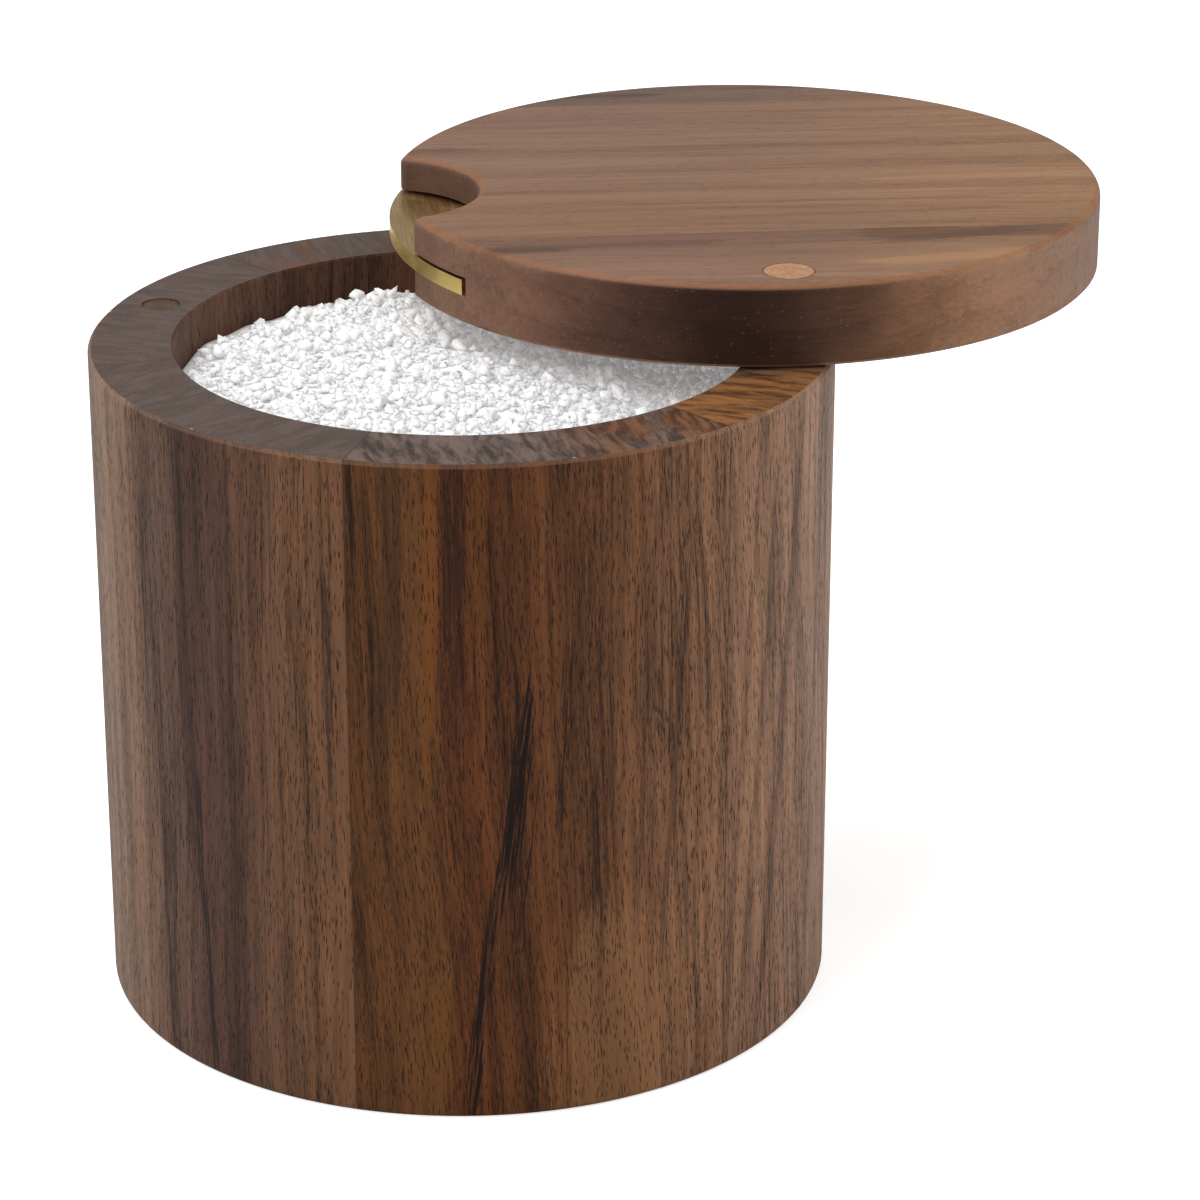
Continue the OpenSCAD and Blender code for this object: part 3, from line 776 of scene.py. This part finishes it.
# the crystals and the body under them as one mesh, with the two poles of the body's grid closed
def makeSalt():
    random = np.random.default_rng(saltLook["seed"])
    allCorners, allFaces, start = [], [], 0
    for corners, faces in makeCrystalShapes(random):
        moved, index = scatterShape(random, corners, faces, start)
        allCorners.append(moved)
        allFaces += index.tolist()
        start += len(moved)
    corners, quads = makeHeapBody(start)
    mesh = bpy.data.meshes.new("salt")
    places = np.concatenate([*allCorners, corners]) / 1000.0
    mesh.from_pydata(places.tolist(), [], allFaces + quads.tolist())
    solid = bmesh.new()
    solid.from_mesh(mesh)
    poles = [v for v in solid.verts if v.co.xy.length < 1e-7]
    bmesh.ops.remove_doubles(solid, verts=poles, dist=1e-7)
    solid.to_mesh(mesh)
    solid.free()
    mesh.shade_smooth()  # the grains are worn round
    return bpy.data.objects.new("salt", mesh)


# white scattering grains: a cloudy noise sets whiteness, roughness and a low bump, and most of each shading
# normal is turned up to the heap's own, which stands for the light that the grains pass on to each other
def makeSaltFinish():
    material, tree, shader = newMaterial("coarse_salt")
    cloud = noise(tree, put(tree, "TexCoord").outputs["Object"], 420.0, 3.0)
    bump = put(tree, "Bump", {"Height": cloud, "Strength": 0.2, "Distance": 0.0002})
    soft = put(tree, "VectorMath", {0: bump.outputs[0], 1: (0.0, 0.0, saltLook["upwards"])},
               operation="ADD").outputs[0]
    soft = put(tree, "VectorMath", {0: soft}, operation="NORMALIZE").outputs[0]
    colour = blendColour(tree, rise(tree, cloud, 0.3, 0.7), saltLook["shade"], saltLook["white"])
    for key, value in {
            "Base Color": colour, "Roughness": rise(tree, cloud, 0.3, 0.7, 0.22, 0.5), "Normal": soft,
            "Subsurface Weight": 1.0, "Subsurface Radius": (1.0, 1.0, 1.0),
            "Subsurface Scale": saltLook["scatter"], "IOR": 1.5,
            "Emission Color": (1.0, 1.0, 1.0, 1.0), "Emission Strength": saltLook["glow"]}.items():
        fillSocket(tree, shader.inputs[key], value)
    return material


salt = makeSalt()
bpy.context.scene.collection.objects.link(salt)
salt.data.materials.append(makeSaltFinish())
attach(salt, "box")
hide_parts("salt_fill")
print("salt heaped")


floorLook = {
    "reach": 9.0,  # m, from the middle to an edge
    "light": 0.82, "dark": 0.78,
    "glow": 0.62,  # what the camera sees on top of the lit floor
}
worldStrength = 0.4  # for everything but the camera, which sees full white


def makeFloor():
    half = floorLook["reach"]
    mesh = bpy.data.meshes.new("floor")
    corners = [(-half, -half, 0), (half, -half, 0), (half, half, 0), (-half, half, 0)]
    mesh.from_pydata(corners, [], [(0, 1, 2, 3)])
    floor = bpy.data.objects.new("floor", mesh)
    bpy.context.scene.collection.objects.link(floor)
    material, tree, shader = newMaterial("floor_paper")
    tooth = noise(tree, put(tree, "TexCoord").outputs["Object"], 60.0, 2.0)
    dark, light = ((*[floorLook[key]] * 3, 1.0) for key in ("dark", "light"))
    tree.links.new(blendColour(tree, tooth, dark, light), shader.inputs["Base Color"])
    shader.inputs["Roughness"].default_value = 0.9
    shader.inputs["Specular IOR Level"].default_value = 0.1
    strength = maths(tree, "MULTIPLY", seenByCamera(tree), floorLook["glow"])
    glow = put(tree, "Emission", {"Color": (1, 1, 1, 1), "Strength": strength})
    both = put(tree, "AddShader", {0: shader.outputs[0], 1: glow.outputs[0]})
    tree.links.new(both.outputs[0], tree.nodes["Material Output"].inputs["Surface"])
    mesh.materials.append(material)


def makeWorld():
    world = bpy.data.worlds.new("studio")
    bpy.context.scene.world = world
    world.use_nodes = True
    tree = world.node_tree
    sky = tree.nodes["Background"]
    sky.inputs["Color"].default_value = (1, 1, 1, 1)
    strength = put(tree, "MapRange", {"Value": seenByCamera(tree), "To Min": worldStrength, "To Max": 1.0})
    tree.links.new(strength.outputs[0], sky.inputs["Strength"])


# each lamp's place, the height of the spot over the origin that it looks at, its width and height in m, and
# its power in W
lampLooks = {
    "key": {"place": (-0.8, -1.3, 1.6), "aim": 0.06, "size": (1.1, 1.1), "power": 15.0},
    "fill": {"place": (1.5, -1.0, 0.7), "aim": 0.06, "size": (1.0, 1.2), "power": 6.0},
    "top": {"place": (-0.5, 0.25, 1.75), "aim": 0.1, "size": (1.3, 1.0), "power": 15.0},
    "card": {"place": (-1.3, -1.0, 0.5), "aim": 0.1, "size": (0.9, 0.9), "power": 2.8},
    "right_edge": {"place": (1.35, 0.75, 0.35), "aim": 0.06, "size": (0.2, 1.3), "power": 10.0},
    "left_edge": {"place": (-1.35, 0.75, 0.35), "aim": 0.06, "size": (0.2, 1.3), "power": 2.5},
}


def makeLamp(name, look):
    light = bpy.data.lights.new(name, "AREA")
    light.shape = "RECTANGLE"
    light.size, light.size_y = look["size"]
    light.energy = look["power"]
    lamp = bpy.data.objects.new(name, light)
    lamp.location = look["place"]
    toSpot = Vector((0.0, 0.0, look["aim"])) - Vector(look["place"])
    lamp.rotation_euler = toSpot.to_track_quat("-Z", "Y").to_euler()
    bpy.context.scene.collection.objects.link(lamp)


viewLook = {
    "place": (0.12919, -0.60777, 0.31384),  # m
    "forward": (-0.16149, 0.91206, -0.37695),
    "roll": 0.0013,
    "lens": 127.25, "sensor": 36.0,  # mm
    "clip": (0.05, 30.0),  # m
}


def makeCamera():
    cameraData = bpy.data.cameras.new("camera")
    cameraData.lens = viewLook["lens"]
    cameraData.sensor_width = viewLook["sensor"]
    cameraData.clip_start, cameraData.clip_end = viewLook["clip"]
    camera = bpy.data.objects.new("camera", cameraData)
    bpy.context.scene.collection.objects.link(camera)
    turn = Vector(viewLook["forward"]).to_track_quat("-Z", "Y").to_matrix().to_4x4()
    roll = Matrix.Rotation(viewLook["roll"], 4, "Z")
    camera.matrix_world = Matrix.Translation(viewLook["place"]) @ turn @ roll
    bpy.context.scene.camera = camera


makeFloor()
makeWorld()
for name, look in lampLooks.items():
    makeLamp(name, look)
makeCamera()
bpy.context.scene.view_settings.view_transform = "Standard"
print("stage, lights and camera ready")
